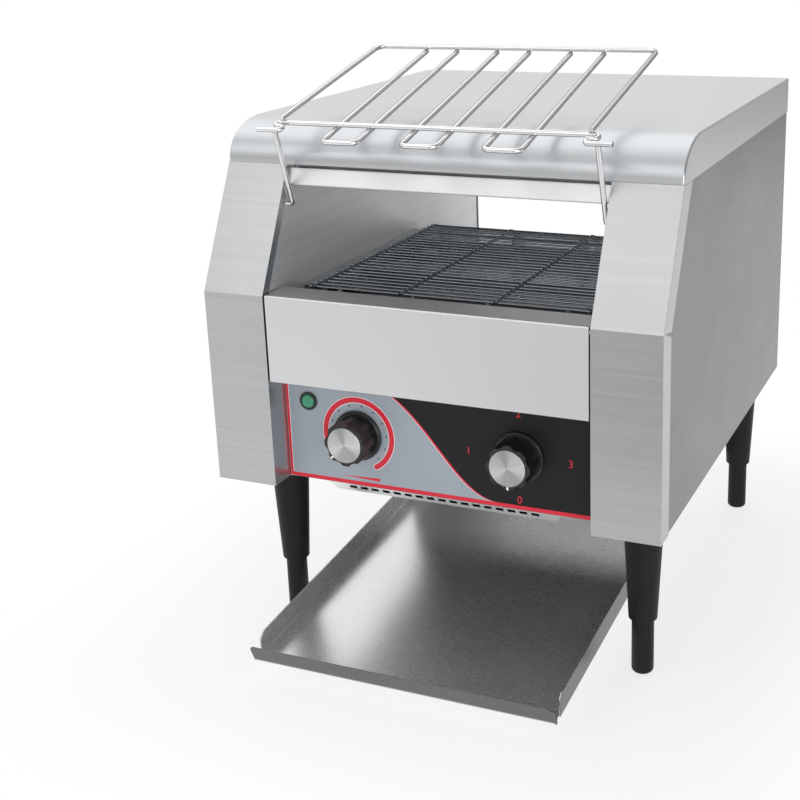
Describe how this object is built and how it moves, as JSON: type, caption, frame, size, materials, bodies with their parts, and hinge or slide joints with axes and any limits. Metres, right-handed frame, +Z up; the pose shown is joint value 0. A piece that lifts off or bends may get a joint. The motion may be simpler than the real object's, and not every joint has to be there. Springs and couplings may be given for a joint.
{
  "type": "conveyor toaster",
  "caption": "Countertop conveyor toaster of folded steel with a ladder wire belt, knob controls, a fold-over wire feed rack, a sloping slide-out tray and levelling feet.",
  "frame": {"origin": "centre of the plan box, on the surface that the feet stand on", "axes": "+X to the right seen from the front, +Y from the feed mouth to the back, +Z up"},
  "size_m": [0.368, 0.4968, 0.4665],
  "materials": {
    "brushed_sheet": "stainless sheet with a lengthwise brushed grain",
    "cover_sheet": "stainless sheet, finely brushed and bright",
    "front_sheet": "bright stainless sheet",
    "plain_sheet": "mill finish stainless sheet",
    "tray_sheet": "brushed stainless sheet",
    "overlay_print": "printed film, silver and black with red lines",
    "rack_wire": "bright plated wire",
    "belt_wire": "heat-darkened steel wire",
    "shaft_steel": "turned steel",
    "bush_bronze": "sintered bronze",
    "heater_sheath": "heat-tinted sheath",
    "ceramic": "glazed ceramic",
    "motor_case": "zinc-plated and painted steel",
    "black_plastic": "moulded",
    "leg_plastic": "moulded, slightly glossy",
    "knob_plastic": "moulded phenolic",
    "knob_cap_metal": "spun",
    "lamp_green": "translucent green"
  },
  "bodies": {
    "housing": {"left_column_cover": "brushed_sheet", "right_column_cover": "brushed_sheet", "left_side_panel": "brushed_sheet", "right_side_panel": "brushed_sheet", "left_inner_wall": "brushed_sheet", "right_inner_wall": "brushed_sheet", "lintel": "brushed_sheet", "top_cover": "cover_sheet", "front_panel": "front_sheet", "base_frame": "plain_sheet", "vent_pan": "plain_sheet", "control_panel": "plain_sheet", "control_box_shield": "plain_sheet", "back_panel": "plain_sheet", "discharge_chute": "plain_sheet", "upper_reflector": "plain_sheet", "lower_reflector": "plain_sheet", "left_belt_rail": "plain_sheet", "right_belt_rail": "plain_sheet", "tray_runners": "plain_sheet", "motor_bracket": "plain_sheet", "panel_overlay": "overlay_print", "conveyor_belt": "belt_wire", "drive_chain": "shaft_steel", "leg_nuts": "shaft_steel", "back_screws": "shaft_steel", "shaft_bushes": "bush_bronze", "upper_heating_tubes": "heater_sheath", "lower_heating_tubes": "heater_sheath", "heater_insulators": "ceramic", "terminal_block": "ceramic", "gear_motor": "motor_case", "speed_controller": "black_plastic", "function_switch": "black_plastic", "lamp_bezel": "black_plastic", "cord_gland": "black_plastic", "front_left_leg": "leg_plastic", "front_right_leg": "leg_plastic", "rear_left_leg": "leg_plastic", "rear_right_leg": "leg_plastic", "lamp_lens": "lamp_green"},
    "feed_rack": {"rack_frame": "rack_wire", "rack_hairpins": "rack_wire"},
    "tray": {"collecting_tray": "tray_sheet"},
    "speed_dial": {"speed_spindle": "shaft_steel", "speed_knob": "knob_plastic", "speed_knob_cap": "knob_cap_metal"},
    "function_dial": {"function_spindle": "shaft_steel", "function_knob": "knob_plastic", "function_knob_cap": "knob_cap_metal"},
    "drive_roller": {"drive_shaft": "shaft_steel", "drive_sprockets": "shaft_steel", "chain_wheel": "shaft_steel"},
    "idler_roller": {"idler_shaft": "shaft_steel", "idler_sprockets": "shaft_steel"},
    "motor_output": {"motor_pinion": "shaft_steel"},
    "screw_foot_front_left": {"front_left_foot": "leg_plastic"},
    "screw_foot_front_right": {"front_right_foot": "leg_plastic"},
    "screw_foot_rear_left": {"rear_left_foot": "leg_plastic"},
    "screw_foot_rear_right": {"rear_right_foot": "leg_plastic"}
  },
  "joints": [
    {"name": "rack_fold", "type": "hinge", "parent": "housing", "child": "feed_rack", "pos_m": [0, -0.13584, 0.357], "axis": [1, 0, 0], "range_deg": [0, 116]},
    {"name": "tray_slide", "type": "slide", "parent": "housing", "child": "tray", "axis": [0, -0.9968, -0.0802], "range_m": [0, 0.13]},
    {"name": "speed_turn", "type": "hinge", "parent": "housing", "child": "speed_dial", "pos_m": [-0.0675, -0.16005, 0.181], "axis": [0, 1, 0], "range_deg": [0, 270]},
    {"name": "function_turn", "type": "hinge", "parent": "housing", "child": "function_dial", "pos_m": [0.0675, -0.16005, 0.181], "axis": [0, 1, 0], "range_deg": [0, 270]},
    {"name": "drive_turn", "type": "hinge", "parent": "housing", "child": "drive_roller", "pos_m": [0, 0.09435, 0.272], "axis": [1, 0, 0], "continuous": true},
    {"name": "idler_turn", "type": "hinge", "parent": "housing", "child": "idler_roller", "pos_m": [0, -0.13065, 0.272], "axis": [1, 0, 0], "continuous": true},
    {"name": "motor_turn", "type": "hinge", "parent": "housing", "child": "motor_output", "pos_m": [0.168, 0.15135, 0.215], "axis": [1, 0, 0], "continuous": true},
    {"name": "foot_turn_front_left", "type": "hinge", "parent": "housing", "child": "screw_foot_front_left", "pos_m": [-0.154, -0.12465, 0], "axis": [0, 0, 1], "continuous": true},
    {"name": "foot_turn_front_right", "type": "hinge", "parent": "housing", "child": "screw_foot_front_right", "pos_m": [0.154, -0.12465, 0], "axis": [0, 0, 1], "continuous": true},
    {"name": "foot_turn_rear_left", "type": "hinge", "parent": "housing", "child": "screw_foot_rear_left", "pos_m": [-0.154, 0.20235, 0], "axis": [0, 0, 1], "continuous": true},
    {"name": "foot_turn_rear_right", "type": "hinge", "parent": "housing", "child": "screw_foot_rear_right", "pos_m": [0.154, 0.20235, 0], "axis": [0, 0, 1], "continuous": true}
  ],
  "couplings": [
    {"joint": "idler_turn", "follows": "drive_turn", "ratio": 1},
    {"joint": "motor_turn", "follows": "drive_turn", "ratio": 2}
  ]
}
